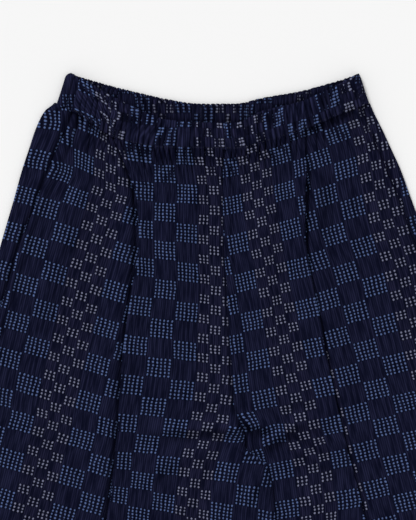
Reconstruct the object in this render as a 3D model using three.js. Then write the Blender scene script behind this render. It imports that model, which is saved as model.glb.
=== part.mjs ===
// Lantern trousers laid flat with their front up: two fronts with one deep pleat each, two backs
// that wrap round the side folds, a gathered waist casing in two pieces and a gathered casing
// at each hem.
//
// Millimetres. +Z is up from the surface that the trousers lie on, +Y runs from the hems to the
// waist, and +X is to the right for a viewer who looks down with the waist at the top.
//
// The tables give x from the middle of the waist and depth, which is the distance below the
// highest corner of the waist. Each section of a piece is a path in the plane of x and z. The
// cloth has half of its thickness on each side of that path.

import * as THREE from 'three';

// Cloth and seams
const CLOTH = 1.5;
const CASING = 3.2;
const HEM_CASING = 2.4;
const SEAM_GAP = 0.3;
const LAYER_GAP = 0.45;

// Whole garment
const LENGTH = 940;
const HEM_SEAM = 915;
const CROTCH = 440;
const CROTCH_DIP = 12;
const MIDDLE = 12.5;

// Heights of the middle of the cloth above the surface
const FLOOR_LAYER = CLOTH / 2;
const FRONT_REST = CLOTH + LAYER_GAP + CLOTH / 2;
const SIDE_FOLD = 4.6;
const CENTRE_SEAM = 3.4;
const INSEAM = CLOTH + SEAM_GAP + CLOTH / 2;
const CASING_TOP = 7.9;
const PANEL_TOP = CASING_TOP - 1.6;
const HEM_TOP = 4.6;
const PLEAT_RISE_WAIST = 1.2;
const PLEAT_RISE_HEM = 0.4;

// Pleat: pitch of its three layers, how far the upper one runs on before it sinks, and how far
// the hidden layers stop short of the casing
const PLEAT_PITCH = 2.1;
const PLEAT_RUN_ON = 5;
const PLEAT_SLOPE = 32;
const PLEAT_TUCK = 2.5;

// Gathers at the waist and at the hems
const WAIST_WAVE = 6.1;
const WAIST_SWELL = 1.25;
const CASING_SWELL = 1.1;
const HEM_SWELL = 1.2;
const HEM_WAVES = 15;
const CASING_BELLY = 0.7;
const CASING_STEPS = 2 * Math.round(343 / WAIST_WAVE);

// Sets of uneven numbers for the waves of the casings and hems
const FRONT_CASING_SET = 3;
const BACK_CASING_SET = 7;
const HEM_SET = 5;

// Corners of the waist, from the middle to the outside of the casing
const CORNER_TOP = 176;
const CORNER_SEAM = 187.5;
const CASING_SEAM_DEPTH = { left: 50, right: 42 };

// Steps of a side fold and of a back's edge under its casing
const TURN_STEPS = 4;
const BACK_SEAM_STEPS = 26;
const BACK_STEPS = 8;

// The left leg lies over the inner edge of the right leg
const OVERLAP_LIFT = 6.3;
const OVERLAP_CLEAR = 5;
const OVERLAP_SLOPE = 24;
const OVERLAP_START = 36;

// Sides: left and right as the viewer sees them
const LEFT = -1;
const RIGHT = 1;

/** Rows of numbers as objects with named columns. */
function table(names, rows) {
  return rows.map((row) => Object.fromEntries(names.map((name, i) => [name, row[i]])));
}

// Edges and seams of the trousers at each depth, as x
const EDGES = table(
  ['depth', 'leftSide', 'leftSeam', 'leftPleat', 'leftInner',
    'rightInner', 'rightPleat', 'rightSeam', 'rightSide'],
  [
    [0, -176, -160, -124, 15, 15, 110, 167, 176],
    [36, -190, -165, -123, 15, 15, 110, 178, 188],
    [46, -202, -168.5, -122.5, 15, 15, 110, 181, 192],
    [68, -213, -176, -121, 15, 15, 110, 188, 203],
    [92, -221, -188, -113, 14, 14, 110, 199, 214],
    [116, -229, -198, -103, 12, 12, 112, 209, 225],
    [152, -239, -211, -91, 12, 12, 110, 224, 238],
    [200, -253, -231, -88, 13, 13, 111, 241, 256],
    [248, -266, -245, -95, 16, 16, 118, 258, 272],
    [300, -280, -261, -103, 19, 19, 129, 276, 290],
    [350, -294, -277, -109, 22, 22, 138, 293, 308],
    [397, -307, -291, -112, 25, 25, 148, 308, 323],
    [440, -319, -304, -115, 38, 38, 158, 322, 338],
    [447, -321, -306, -116, 38, 38, 160, 324, 340],
    [470, -327, -313, -118, 64, 28, 166, 331, 347],
    [500, -334, -320, -122, 71, 18, 174, 340, 356],
    [545, -344, -330, -128, 75, 8, 184, 352, 368],
    [608, -355, -341, -136, 77, 1, 196, 364, 380],
    [680, -360, -346, -143, 66, 1, 204, 369, 385],
    [752, -349, -335, -148, 42, 11, 206, 360, 376],
    [824, -316, -303, -148, 6, 34, 198, 330, 345],
    [876, -268, -257, -141, -32, 61, 182, 288, 300],
    [915, -220, -211, -136, -52, 78, 169, 251, 260],
    [940, -216, -207, -134, -50, 76, 168, 247, 256],
  ],
);

// Depth of one hidden layer of each pleat
const PLEATS = table(
  ['depth', 'left', 'right'],
  [
    [60, 58, 56],
    [152, 61, 60],
    [330, 48, 48],
    [520, 42, 42],
    [760, 30, 30],
    [940, 14, 14],
  ],
);

// Edges of the two waist casings along the waist, as depths
const WAIST = table(
  ['x', 'backTop', 'backSeam', 'frontTop', 'frontSeam'],
  [
    [-188, 0, 36, 0, 36],
    [-176, 0, 38, 0, 42.5],
    [-160, 5, 43, 6, 51],
    [-118, 17, 55, 30, 78],
    [-89, 24, 62, 44, 87],
    [-58, 31, 69, 56, 91],
    [-16, 37, 75, 60, 91],
    [26, 37, 75, 60, 92],
    [59, 30, 69, 46, 85],
    [104, 22, 60, 35, 70],
    [134, 14, 52, 22, 58],
    [158, 7, 45, 10, 47],
    [176, 1, 39, 1, 40.5],
    [188, 0, 36, 0, 36.5],
  ],
);

// Rows of the panels: depth of a row, how much it follows the casing's seam, and the share of
// the waist gathers, the casing's height and the hem gathers that it has
const ROWS = table(
  ['level', 'follow', 'waves', 'casing', 'hem'],
  [
    [90, 1, 1, 1, 0],
    [99, 1, 0.75, 0.78, 0],
    [112, 0.94, 0.4, 0.5, 0],
    [134, 0.8, 0, 0.26, 0],
    [165, 0.5, 0, 0.1, 0],
    [200, 0.22, 0, 0, 0],
    [245, 0.05, 0, 0, 0],
    [300, 0, 0, 0, 0],
    [355, 0, 0, 0, 0],
    [404, 0, 0, 0, 0],
    [424, 0, 0, 0, 0],
    [440, 0, 0, 0, 0],
    [470, 0, 0, 0, 0],
    [505, 0, 0, 0, 0],
    [560, 0, 0, 0, 0],
    [625, 0, 0, 0, 0],
    [680, 0, 0, 0, 0],
    [730, 0, 0, 0, 0.08],
    [775, 0, 0, 0, 0.2],
    [815, 0, 0, 0, 0.35],
    [850, 0, 0, 0, 0.55],
    [880, 0, 0, 0, 0.8],
    [900, 0, 0, 0, 0.95],
    [914.7, 0, 0, 0, 1],
  ],
);
const SEAM_LEVEL = ROWS[0].level;

// Long soft folds of the fronts, from one end to the other, with half width and height
const FOLDS = table(
  ['x', 'depth', 'toX', 'toDepth', 'spread', 'height'],
  [
    [-150, 110, -222, 330, 15, 2.4],
    [-60, 104, -48, 300, 15, 2.2],
    [-20, 110, -36, 210, 12, 1.6],
    [62, 112, 66, 330, 15, 2.0],
    [148, 86, 176, 260, 14, 2.4],
    [178, 84, 238, 330, 12, 1.8],
    [-12, 420, -96, 470, 14, 2.2],
    [-4, 446, -58, 560, 14, 2.0],
    [96, 430, 150, 405, 14, 2.0],
    [110, 470, 146, 640, 15, 2.2],
    [-210, 380, -270, 700, 20, 2.6],
    [-60, 600, -84, 860, 16, 2.6],
    [-190, 640, -176, 880, 14, 2.8],
    [230, 430, 292, 680, 20, 2.6],
    [130, 700, 142, 880, 14, 2.4],
    [236, 660, 222, 880, 14, 2.8],
  ],
);

// Fronts: waves under the casing and columns of the plain rows, outside and inside the pleat
const FRONTS = table(
  ['name', 'side', 'outerWaves', 'innerWaves', 'outerColumns', 'innerColumns'],
  [
    ['left', LEFT, 7, 21, 8, 17],
    ['right', RIGHT, 11, 15, 10, 14],
  ],
);

const lerp = (a, b, t) => a + (b - a) * t;
const clamp = (value) => Math.min(1, Math.max(0, value));
const smooth = (value) => clamp(value) ** 2 * (3 - 2 * clamp(value));

/** An even number from 0 to 1 for each whole number, the same on every run. */
function scatter(index, set = 0) {
  const value = Math.sin(index * 12.9898 + set * 78.233) * 43758.5453;
  return value - Math.floor(value);
}

/** How strongly one wave of a set is gathered. */
const unevenness = (index, set) => 0.7 + 0.6 * scatter(index, set);

/** Slope at a row of a table, nil at a turning point so that the curve never overshoots. */
function slopeAt(rows, key, column, i) {
  const rise = (k) => (rows[k + 1][column] - rows[k][column]) / (rows[k + 1][key] - rows[k][key]);
  const before = rise(Math.max(0, i - 1));
  const after = rise(Math.min(rows.length - 2, i));
  return before * after <= 0 ? 0 : (2 * before * after) / (before + after);
}

/** Value of a column on a smooth curve through the rows. */
function along(rows, key, column, place) {
  const last = rows.length - 1;
  const held = Math.min(Math.max(place, rows[0][key]), rows[last][key]);
  let i = 0;
  while (i < last - 1 && held > rows[i + 1][key]) {
    i += 1;
  }
  const span = rows[i + 1][key] - rows[i][key];
  const t = (held - rows[i][key]) / span;
  const rise = rows[i + 1][column] - rows[i][column];
  const start = slopeAt(rows, key, column, i) * span;
  const end = slopeAt(rows, key, column, i + 1) * span;
  return rows[i][column] + t * start
    + t * t * (3 * rise - 2 * start - end)
    + t * t * t * (start + end - 2 * rise);
}

const edge = (column, depth) => along(EDGES, 'depth', column, depth);
const waist = (column, x) => along(WAIST, 'x', column, x);

/** Depth at x on a row of a panel, which follows the seam of its casing near the waist. */
function rowDepth(row, seam, x) {
  return row.level + row.follow * (waist(seam, x) + SEAM_GAP - SEAM_LEVEL);
}

/** x of an edge or seam on a row, where the row's depth hangs on x too. */
function knot(column, row, seam) {
  let x = edge(column, row.level);
  for (let i = 0; i < 12; i += 1) {
    x = edge(column, rowDepth(row, seam, x));
  }
  return x;
}

/** Positions from the first stop to the last, with a number of steps between each two stops. */
function spread(stops, steps) {
  const places = [stops[0]];
  steps.forEach((count, i) => {
    for (let k = 1; k <= count; k += 1) {
      places.push(lerp(stops[i], stops[i + 1], k / count));
    }
  });
  return places;
}

/** Height of the long soft folds at a place on the fronts. */
function foldHeight(x, depth) {
  let height = 0;
  for (const fold of FOLDS) {
    const dx = fold.toX - fold.x;
    const dy = fold.toDepth - fold.depth;
    const length = Math.hypot(dx, dy);
    const run = ((x - fold.x) * dx + (depth - fold.depth) * dy) / length;
    const off = ((x - fold.x) * dy - (depth - fold.depth) * dx) / length;
    const ends = smooth(run / (0.3 * length)) * smooth((length - run) / (0.3 * length));
    height += fold.height * ends * Math.exp(-((off / fold.spread) ** 2));
  }
  return height;
}

/** Lift of the left leg where it climbs over the inner edge of the right leg. */
function overlapLift(x, depth) {
  const start = smooth((depth - CROTCH + OVERLAP_START) / OVERLAP_START);
  const end = edge('rightInner', depth) - OVERLAP_CLEAR;
  return OVERLAP_LIFT * start * clamp((x - end + OVERLAP_SLOPE) / OVERLAP_SLOPE);
}

/** Places on the left leg where its lift starts and ends, kept inside its inner edge. */
function liftStops(row) {
  const over = edge('rightInner', row.level) - OVERLAP_CLEAR;
  const inner = edge('leftInner', row.level);
  return [Math.min(over - OVERLAP_SLOPE, inner - 14), Math.min(over, inner - 6)];
}

/** Height of the inner edge of a front: on the centre seam, and lower on the inseam. */
function innerHeight(depth) {
  return lerp(CENTRE_SEAM, INSEAM, smooth((depth - CROTCH + CROTCH_DIP) / CROTCH_DIP));
}

/** Height of the cloth just outside the pleat, and of the lower of its two hidden layers. */
function pleatBase(row) {
  return FRONT_REST + row.casing * PLEAT_RISE_WAIST + row.hem * PLEAT_RISE_HEM;
}

/** Height of the front between its side seam (share 0) and its pleat (share 1). */
function outerHeight(row, share) {
  return lerp(lerp(SIDE_FOLD, PANEL_TOP, row.casing), pleatBase(row), smooth(share));
}

/** Points of a half circle round a fold, from its lower layer to its upper one. */
function turn(centre, low, radius, bulge, steps, first) {
  const points = [];
  for (let i = 1; i < steps; i += 1) {
    const angle = Math.PI * (i / steps - 0.5);
    points.push({
      x: centre + bulge * radius * Math.cos(angle),
      z: low + radius + radius * Math.sin(angle),
      mark: first + i / steps,
    });
  }
  return points;
}

/** Height that the gathers add at a point of a row: nil in the troughs. */
function gather(row, index, set) {
  if (index % 2 === 0) {
    return 0;
  }
  const waist = row.waves * WAIST_SWELL * unevenness(index, set);
  const hem = row.hem * HEM_SWELL * unevenness(index, set + HEM_SET);
  return 2 * (waist + hem);
}

/** Run of a front from its side seam to its pleat. */
function outerRun(front, row, from, to, depthOf) {
  const columns = row.waves > 0 ? 2 * front.outerWaves : front.outerColumns;
  return spread([from, to], [columns]).map((x, i) => {
    const share = i / columns;
    const ends = smooth(share * 12) * smooth((1 - share) * 6);
    const folds = foldHeight(x, depthOf(x)) * smooth(share * 5) * smooth((1 - share) * 3);
    return { x, z: outerHeight(row, share) + folds + gather(row, i, front.side) * ends, mark: share };
  });
}

/** Two hidden layers of a pleat and its two folds, from the lower layer to the visible edge. */
function pleatRun(side, pleat, under, low) {
  const radius = PLEAT_PITCH / 2;
  const inside = under + side * radius;
  const outside = pleat - side * radius;
  const middle = lerp(pleat, under, 0.5);
  const second = low + PLEAT_PITCH;
  return [
    { x: middle, z: low, mark: 1.5 },
    { x: inside, z: low, mark: 2 },
    ...turn(inside, low, radius, -side, TURN_STEPS, 2),
    { x: inside, z: second, mark: 3 },
    { x: middle, z: second, mark: 3.5 },
    { x: outside, z: second, mark: 4 },
    ...turn(outside, second, radius, side, TURN_STEPS, 4),
  ];
}

/** Run of a front from the edge of its pleat to the centre seam or inseam. */
function innerRun(front, row, from, to, under, depthOf) {
  const { side } = front;
  const waved = row.waves > 0;
  const climbs = side === LEFT && !waved;
  const stops = climbs ? [from, ...liftStops(row), to] : [from, to];
  const plainSteps = climbs ? [front.innerColumns - 4, 2, 2] : [front.innerColumns];
  const steps = waved ? [2 * front.innerWaves] : plainSteps;
  const high = pleatBase(row) + 2 * PLEAT_PITCH;
  const level = innerHeight(row.level) + row.casing * (PANEL_TOP - CENTRE_SEAM);
  return spread(stops, steps).map((x, i) => {
    const share = (x - from) / (to - from);
    const sink = smooth((-side * (x - under) - PLEAT_RUN_ON) / PLEAT_SLOPE);
    const rest = Math.max(level, lerp(CENTRE_SEAM + LAYER_GAP, level, share));
    const folds = foldHeight(x, depthOf(x)) * smooth((1 - share) * 4) * smooth(share * 6);
    const ends = smooth((1 - share) * 12) * smooth(share * 20);
    const lift = side === LEFT ? overlapLift(x, depthOf(x)) : 0;
    const z = lerp(high, rest, sink) + folds + gather(row, i, side) * ends + lift;
    return { x, z, mark: 5 + share };
  });
}

/** Section of a front on one row, from the side seam to the centre seam or inseam. */
function frontSection(front, row) {
  const { side } = front;
  const column = (name) => knot(front.name + name, row, 'frontSeam');
  const depthOf = (x) => rowDepth(row, 'frontSeam', x);
  const seam = column('Seam') - side * SEAM_GAP;
  const pleat = column('Pleat');
  const inner = column('Inner') + (side * SEAM_GAP) / 2;
  const under = pleat - side * along(PLEATS, 'depth', front.name, row.level);
  const edgeOfPleat = pleat - (side * PLEAT_PITCH) / 2;
  const points = [
    ...outerRun(front, row, seam, edgeOfPleat, depthOf),
    ...pleatRun(side, pleat, under, pleatBase(row)),
    ...innerRun(front, row, edgeOfPleat, inner, under, depthOf),
  ];
  const tuck = row === ROWS[0] ? PLEAT_TUCK : 0;
  const hidden = (x) => depthOf(x) + tuck;
  return points.map((point) => ({
    ...point,
    depthOf: point.mark > 1 && point.mark < 4.4 ? hidden : depthOf,
  }));
}

/** Section of a back on one row: along the surface, round the side fold, up to the side seam. */
function backSection(name, side, row) {
  const column = (edgeName, seam) => knot(name + edgeName, row, seam);
  const inner = column('Inner', 'backSeam') + (side * SEAM_GAP) / 2;
  const outline = column('Side', 'frontSeam');
  const seam = column('Seam', 'frontSeam');
  const top = outerHeight(row, 0);
  const radius = (top - FLOOR_LAYER) / 2;
  const bend = outline - side * (radius + CLOTH / 2);
  const backDepth = (x) => rowDepth(row, 'backSeam', x);
  const frontDepth = (x) => rowDepth(row, 'frontSeam', x);
  const points = [];
  let stops = [inner, bend];
  let steps = [row.follow === 1 ? BACK_SEAM_STEPS : BACK_STEPS];
  if (side === LEFT && row.follow < 1) {
    stops = [inner, ...liftStops(row).reverse(), bend];
    steps = [2, 2, BACK_STEPS - 3];
  }
  for (const x of spread(stops, steps)) {
    const lift = side === LEFT ? overlapLift(x, backDepth(x)) : 0;
    const mark = (x - inner) / (bend - inner);
    points.push({ x, z: FLOOR_LAYER + lift, depthOf: backDepth, floor: lift === 0, mark });
  }
  const middle = lerp(bend, seam, 0.5);
  turn(bend, FLOOR_LAYER, radius, side, TURN_STEPS, 1).forEach((point) => {
    points.push({ ...point, depthOf: (x) => lerp(backDepth(x), frontDepth(x), point.mark - 1) });
  });
  points.push({ x: bend, z: top, mark: 2, depthOf: frontDepth });
  points.push({ x: middle, z: top + row.waves * WAIST_SWELL, mark: 2.5, depthOf: frontDepth });
  points.push({ x: seam, z: top, mark: 3, depthOf: frontDepth });
  return points;
}

/** Depth of a waist casing at x, between its top edge (share 0) and its seam (share 1). */
function casingDepth(kind, share) {
  return (x) => lerp(waist(`${kind}Top`, x), waist(`${kind}Seam`, x), share);
}

/** Ends of the front casing and of the back casing's wraps, on the side seams. */
function casingSeam(name, share) {
  return lerp(edge(`${name}Seam`, 0), edge(`${name}Seam`, CASING_SEAM_DEPTH[name]), share);
}

/** How far a casing bulges between its edges. */
const belly = (share) => 1 - (2 * share - 1) ** 2;

/** Section of the front casing, waved from end to end. */
function frontCasingSection(share) {
  const left = casingSeam('left', share) + SEAM_GAP;
  const right = casingSeam('right', share) - SEAM_GAP;
  const depthOf = casingDepth('front', share);
  return spread([left, right], [CASING_STEPS]).map((x, i) => {
    const swell = (i % 2 === 0 ? -1 : 1) * CASING_SWELL * unevenness(i, FRONT_CASING_SET);
    const ends = i === 0 || i === CASING_STEPS ? 0 : 1;
    return { x, z: CASING_TOP + CASING_BELLY * belly(share) + swell * ends, depthOf, mark: i };
  });
}

/** Section of the back casing: from the left seam round the left corner to the right seam. */
function backCasingSection(share) {
  const floorLayer = CASING / 2;
  const radius = (CASING_TOP - floorLayer) / 2;
  const front = casingDepth('front', share);
  const back = casingDepth('back', share);
  const top = CASING_TOP + CASING_BELLY * belly(share);
  const wrap = (side, name) => {
    const seam = casingSeam(name, share);
    const bend = side * (lerp(CORNER_TOP, CORNER_SEAM, share) - radius - CASING / 2);
    const corner = turn(bend, floorLayer, radius, side, TURN_STEPS, 0).map((point) => ({
      ...point, depthOf: (x) => lerp(back(x), front(x), point.mark),
    }));
    const over = [
      { x: bend, z: top, depthOf: front },
      { x: lerp(bend, seam, 0.5), z: top + CASING_SWELL, depthOf: front },
      { x: seam, z: top, depthOf: front },
    ];
    return { bend, points: [...corner, ...over] };
  };
  const left = wrap(LEFT, 'left');
  const right = wrap(RIGHT, 'right');
  const inside = spread([left.bend, right.bend], [CASING_STEPS]).map((x, i) => {
    const rise = (i % 2 === 0 ? 0 : 1) * CASING_SWELL * unevenness(i, BACK_CASING_SET);
    return { x, z: floorLayer, depthOf: back, floor: true, rise };
  });
  const points = [...left.points.reverse(), ...inside, ...right.points];
  return points.map((point, i) => ({ ...point, mark: i }));
}

/** Section of a hem casing, a flat ring: along the surface, round, and back over the top. */
function hemSection(name, side, depth) {
  const outer = edge(`${name}Side`, depth);
  const inner = edge(`${name}Inner`, depth);
  const floorLayer = HEM_CASING / 2;
  const radius = (HEM_TOP - floorLayer) / 2;
  const outerBend = outer - side * (radius + HEM_CASING / 2);
  const innerBend = inner + side * (radius + HEM_CASING / 2);
  const points = [];
  for (const x of spread([innerBend, outerBend], [8])) {
    points.push({ x, z: floorLayer, floor: true });
  }
  points.push(...turn(outerBend, floorLayer, radius, side, 4, 0));
  spread([outerBend, innerBend], [2 * HEM_WAVES]).forEach((x, i) => {
    const crest = i % 2 === 0 ? 0 : 2;
    points.push({ x, z: HEM_TOP + crest * HEM_SWELL * unevenness(i, side + HEM_SET) });
  });
  points.push(...turn(innerBend, floorLayer, radius, -side, 4, 0).reverse());
  return points.map((point, i) => ({ ...point, depthOf: () => depth, mark: i }));
}

/** Pairs of points on the two faces of the cloth, half a thickness to each side of a section. */
function faces(section, thickness, ring) {
  const count = section.length;
  const pairs = section.map((point, i) => {
    const before = section[ring ? (i + count - 1) % count : Math.max(0, i - 1)];
    const after = section[ring ? (i + 1) % count : Math.min(count - 1, i + 1)];
    const inward = new THREE.Vector2(point.x - before.x, point.z - before.z);
    const outward = new THREE.Vector2(after.x - point.x, after.z - point.z);
    const first = inward.lengthSq() > 0 ? inward.normalize() : outward.clone().normalize();
    const second = outward.lengthSq() > 0 ? outward.normalize() : first;
    const tangent = first.clone().add(second).normalize();
    if (!ring && (i === 0 || i === count - 1)) {
      tangent.set(Math.sign(tangent.x), 0);
    }
    const half = thickness / 2;
    const face = (sign) => {
      const x = point.x - sign * tangent.y * half;
      const z = point.z + sign * tangent.x * half;
      return new THREE.Vector3(x, LENGTH / 2 - point.depthOf(x), z);
    };
    const [a, b] = [face(1), face(-1)];
    if (point.floor) {
      const [low, high] = a.z < b.z ? [a, b] : [b, a];
      low.set(point.x, low.y, 0);
      high.set(point.x, low.y, thickness + (point.rise ?? 0));
    }
    return { a, b, mark: point.mark };
  });
  return pairs;
}

/** Triangles between two rows of points, which may differ in number, by their marks. */
function stitch(rowA, rowB, { ring, lean }, emit) {
  if (rowA.length === rowB.length) {
    const steps = ring ? rowA.length : rowA.length - 1;
    for (let k = 0; k < steps; k += 1) {
      const next = (k + 1) % rowA.length;
      emit(rowA[k], rowB[k], lean ? rowB[next] : rowA[next]);
      emit(rowA[next], lean ? rowA[k] : rowB[k], rowB[next]);
    }
    return;
  }
  let i = 0;
  let j = 0;
  while (i < rowA.length - 1 || j < rowB.length - 1) {
    const nextA = i < rowA.length - 1 ? rowA[i + 1].mark : Infinity;
    const nextB = j < rowB.length - 1 ? rowB[j + 1].mark : Infinity;
    if (nextA <= nextB) {
      emit(rowA[i], rowB[j], rowA[i + 1]);
      i += 1;
    } else {
      emit(rowA[i], rowB[j], rowB[j + 1]);
      j += 1;
    }
  }
}

/** A closed wall of cloth through its sections, which may be rings, leaning either way. */
function clothBody(sections, thickness, { ring = false, lean = false } = {}) {
  const positions = [];
  const rows = sections.map((section) => faces(section, thickness, ring));
  const add = (point) => {
    positions.push(point);
    return positions.length - 1;
  };
  const indexed = rows.map((row) => ({
    a: row.map((pair) => ({ id: add(pair.a), mark: pair.mark })),
    b: row.map((pair) => ({ id: add(pair.b), mark: pair.mark })),
  }));
  const triangles = [];
  const forward = (p, q, r) => triangles.push([p.id, q.id, r.id]);
  const backward = (p, q, r) => triangles.push([p.id, r.id, q.id]);
  for (let k = 0; k < rows.length - 1; k += 1) {
    stitch(indexed[k].a, indexed[k + 1].a, { ring, lean }, forward);
    stitch(indexed[k].b, indexed[k + 1].b, { ring, lean }, backward);
  }
  const rim = (row, emit) => {
    const steps = ring ? row.a.length : row.a.length - 1;
    for (let i = 0; i < steps; i += 1) {
      const j = (i + 1) % row.a.length;
      emit(row.a[i], row.a[j], row.b[i]);
      emit(row.a[j], row.b[j], row.b[i]);
    }
  };
  rim(indexed[0], forward);
  rim(indexed[indexed.length - 1], backward);
  if (!ring) {
    for (let k = 0; k < rows.length - 1; k += 1) {
      const last = rows[k].length - 1;
      const next = rows[k + 1].length - 1;
      backward(indexed[k].a[0], indexed[k + 1].a[0], indexed[k].b[0]);
      backward(indexed[k + 1].a[0], indexed[k + 1].b[0], indexed[k].b[0]);
      forward(indexed[k].a[last], indexed[k + 1].a[next], indexed[k].b[last]);
      forward(indexed[k + 1].a[next], indexed[k + 1].b[next], indexed[k].b[last]);
    }
  }
  return solidGeometry(positions, triangles);
}

/** A buffer geometry with its faces pointing out. */
function solidGeometry(positions, triangles) {
  let volume = 0;
  for (const [p, q, r] of triangles) {
    volume += positions[p].dot(positions[q].clone().cross(positions[r]));
  }
  const index = triangles.flatMap(([p, q, r]) => (volume > 0 ? [p, q, r] : [p, r, q]));
  const geometry = new THREE.BufferGeometry();
  const flat = positions.flatMap((point) => [point.x - MIDDLE, point.y, point.z]);
  geometry.setAttribute('position', new THREE.Float32BufferAttribute(flat, 3));
  geometry.setIndex(index);
  geometry.computeVertexNormals();
  return geometry;
}

const cloth = new THREE.MeshStandardMaterial({ color: 0x171a30, roughness: 0.92, metalness: 0 });
const casing = new THREE.MeshStandardMaterial({ color: 0x14172c, roughness: 0.92, metalness: 0 });

/** A named piece of cloth. */
function piece(name, geometry, material) {
  const mesh = new THREE.Mesh(geometry, material);
  mesh.name = name;
  return mesh;
}

/** Rows of shares from the top edge of a casing to its seam. */
const CASING_SHARES = [0, 0.45, 1];
const HEM_DEPTHS = [HEM_SEAM, (HEM_SEAM + LENGTH) / 2, LENGTH];

const trousers = new THREE.Group();
for (const front of FRONTS) {
  const sections = ROWS.map((row) => frontSection(front, row));
  trousers.add(piece(`front_${front.name}`, clothBody(sections, CLOTH), cloth));
}
for (const { name, side } of FRONTS) {
  const sections = ROWS.map((row) => backSection(name, side, row));
  trousers.add(piece(`back_${name}`, clothBody(sections, CLOTH, { lean: true }), cloth));
}
trousers.add(piece('waistband_front', clothBody(CASING_SHARES.map(frontCasingSection), CASING), casing));
trousers.add(piece('waistband_back', clothBody(CASING_SHARES.map(backCasingSection), CASING), casing));
for (const { name, side } of FRONTS) {
  const sections = HEM_DEPTHS.map((depth) => hemSection(name, side, depth));
  trousers.add(piece(`hem_${name}`, clothBody(sections, HEM_CASING, { ring: true }), casing));
}

export default trousers;
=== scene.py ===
"""Lantern trousers of navy dobby cloth, laid flat with their front up.

Two fronts with one deep reverse pleat each, two backs that wrap round the side folds, a gathered
waist casing in two pieces and a gathered casing at each hem.

The tables give x from the middle of the waist and depth, the distance below the highest corner of
the waist, both in millimetres as on a pattern sheet. Meshes are in metres, in the frame of the
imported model: +X to the right, +Y from the hems to the waist, +Z up from the floor.
"""

import logging
import math
from dataclasses import dataclass, fields, replace
from enum import Enum
from typing import Sequence

import bpy
import numpy as np
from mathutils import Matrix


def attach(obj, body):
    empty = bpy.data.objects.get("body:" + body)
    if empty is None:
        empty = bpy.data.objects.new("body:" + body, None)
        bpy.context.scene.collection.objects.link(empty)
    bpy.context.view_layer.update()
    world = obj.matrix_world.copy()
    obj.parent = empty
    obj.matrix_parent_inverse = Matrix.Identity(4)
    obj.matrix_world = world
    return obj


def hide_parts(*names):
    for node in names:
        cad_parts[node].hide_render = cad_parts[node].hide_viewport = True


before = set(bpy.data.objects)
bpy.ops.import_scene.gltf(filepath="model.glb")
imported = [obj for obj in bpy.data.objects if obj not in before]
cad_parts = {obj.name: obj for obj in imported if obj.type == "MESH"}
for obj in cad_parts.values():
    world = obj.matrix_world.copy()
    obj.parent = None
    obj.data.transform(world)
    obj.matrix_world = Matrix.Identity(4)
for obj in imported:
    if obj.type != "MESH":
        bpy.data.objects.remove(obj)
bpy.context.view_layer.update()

log = logging.getLogger("lantern_trousers")

Values = np.ndarray
Socket = bpy.types.NodeSocket
Colour = tuple[float, float, float, float]
Value = Socket | float | Colour

MM = 0.001

# Whole garment, millimetres
LENGTH = 940.0
MIDDLE = 12.5
HEM_SEAM = 915.0
CROTCH = 440.0
CROTCH_DIP = 12.0
SEAM_GAP = 0.3
CLOSED_GAP = 0.04
LAYER_GAP = 0.45

# Walls: the solids' cloth is 1.5 thick, and the shells keep the middle of that wall
CLOTH = 1.5
SHELL = 1.15
CASING = 3.2
CASING_SHELL = 2.6
HEM_CASING = 2.4
HEM_SHELL = 2.0

# Heights of the middle of the cloth
FLOOR_LAYER = CLOTH / 2
FRONT_REST = CLOTH + LAYER_GAP + CLOTH / 2
FRONT_LOWEST = 2.25
SIDE_FOLD = 4.6
CENTRE_SEAM = 3.4
INSEAM = CLOTH + SEAM_GAP + CLOTH / 2
CASING_TOP = 7.9
PANEL_TOP = CASING_TOP - 1.6
HEM_TOP = 4.6
PLEAT_RISE_WAIST = 1.2
PLEAT_RISE_HEM = 0.4

# Pleats
PLEAT_PITCH = 2.1
PLEAT_RUN_ON = 5.0
PLEAT_SLOPE = 32.0
PLEAT_TUCK = 2.5
PLEAT_TUCK_REACH = 9.0
LAYER_POINTS = 5

# Roll of cloth beside each pleat: how fast it rises from its foot, where it falls again,
# and the reach of the lift that the pleat's own edge has
ROLL_RISE = 5.0
ROLL_REACH = 26.0
EDGE_LIFT = 0.5
EDGE_REACH = 12.0

# Grooves along seams, with a soft ridge of seam allowance beside them
SIDE_GROOVE = 2.5
CENTRE_GROOVE = 1.4
GROOVE_WIDTH = 2.0
ALLOWANCE = 2.6
ALLOWANCE_SET = 6.5
ALLOWANCE_WIDTH = 4.2
CALM_GROOVE = 0.2
CALM_HEM_GROOVE = 0.7

# Gathers
GATHER_PITCH = 6.1
WAIST_SWELL = 4.2
WAIST_PINCH = 1.6
CASING_SWELL = 2.0
CASING_PINCH = 1.0
STRIP_SWELL = 2.6
STRIP_DIP = 0.3
STRIP_HIDDEN = 0.2
STRIP_SHADE = 5.5
STRIP_SHADE_WIDTH = 7.0
SCALLOP = 1.4
COLUMNS_TAKEN = 0.4
STRIP_COLUMNS_TAKEN = 0.75
HEM_PITCH = 10.6
HEM_SWELL = 2.4
CASING_BELLY = 1.1
TROUGH_ROOM = 0.7
CALM_START = 95.0
CALM_WIDTH = 60.0
CALM_SHARE = 0.5
CORNER_TOP = 176.0
CORNER_SEAM = 187.5
CORNER_SHARE = 0.14

# Pattern of the back casing: pitches of its gathered columns and rows, marks on each side of the
# centre back seam, and the pattern's counts at the left ones
CENTRE_BACK = -13.8
STRIP_COLUMN = 3.2
STRIP_ROW = 3.84
STRIP_LEFT_EDGE = -46.2
STRIP_LEFT_ROW = 48.6
STRIP_RIGHT_BAND = 18.0
STRIP_RIGHT_ROW = 54.6
EDGE_COLUMN = 4.5
EDGE_ROW = 5.5

# The left leg lies over the inner edge of the right leg
OVERLAP_LIFT = 6.3
OVERLAP_CLEAR = 5.0
OVERLAP_SLOPE = 24.0
OVERLAP_START = 36.0

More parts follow.
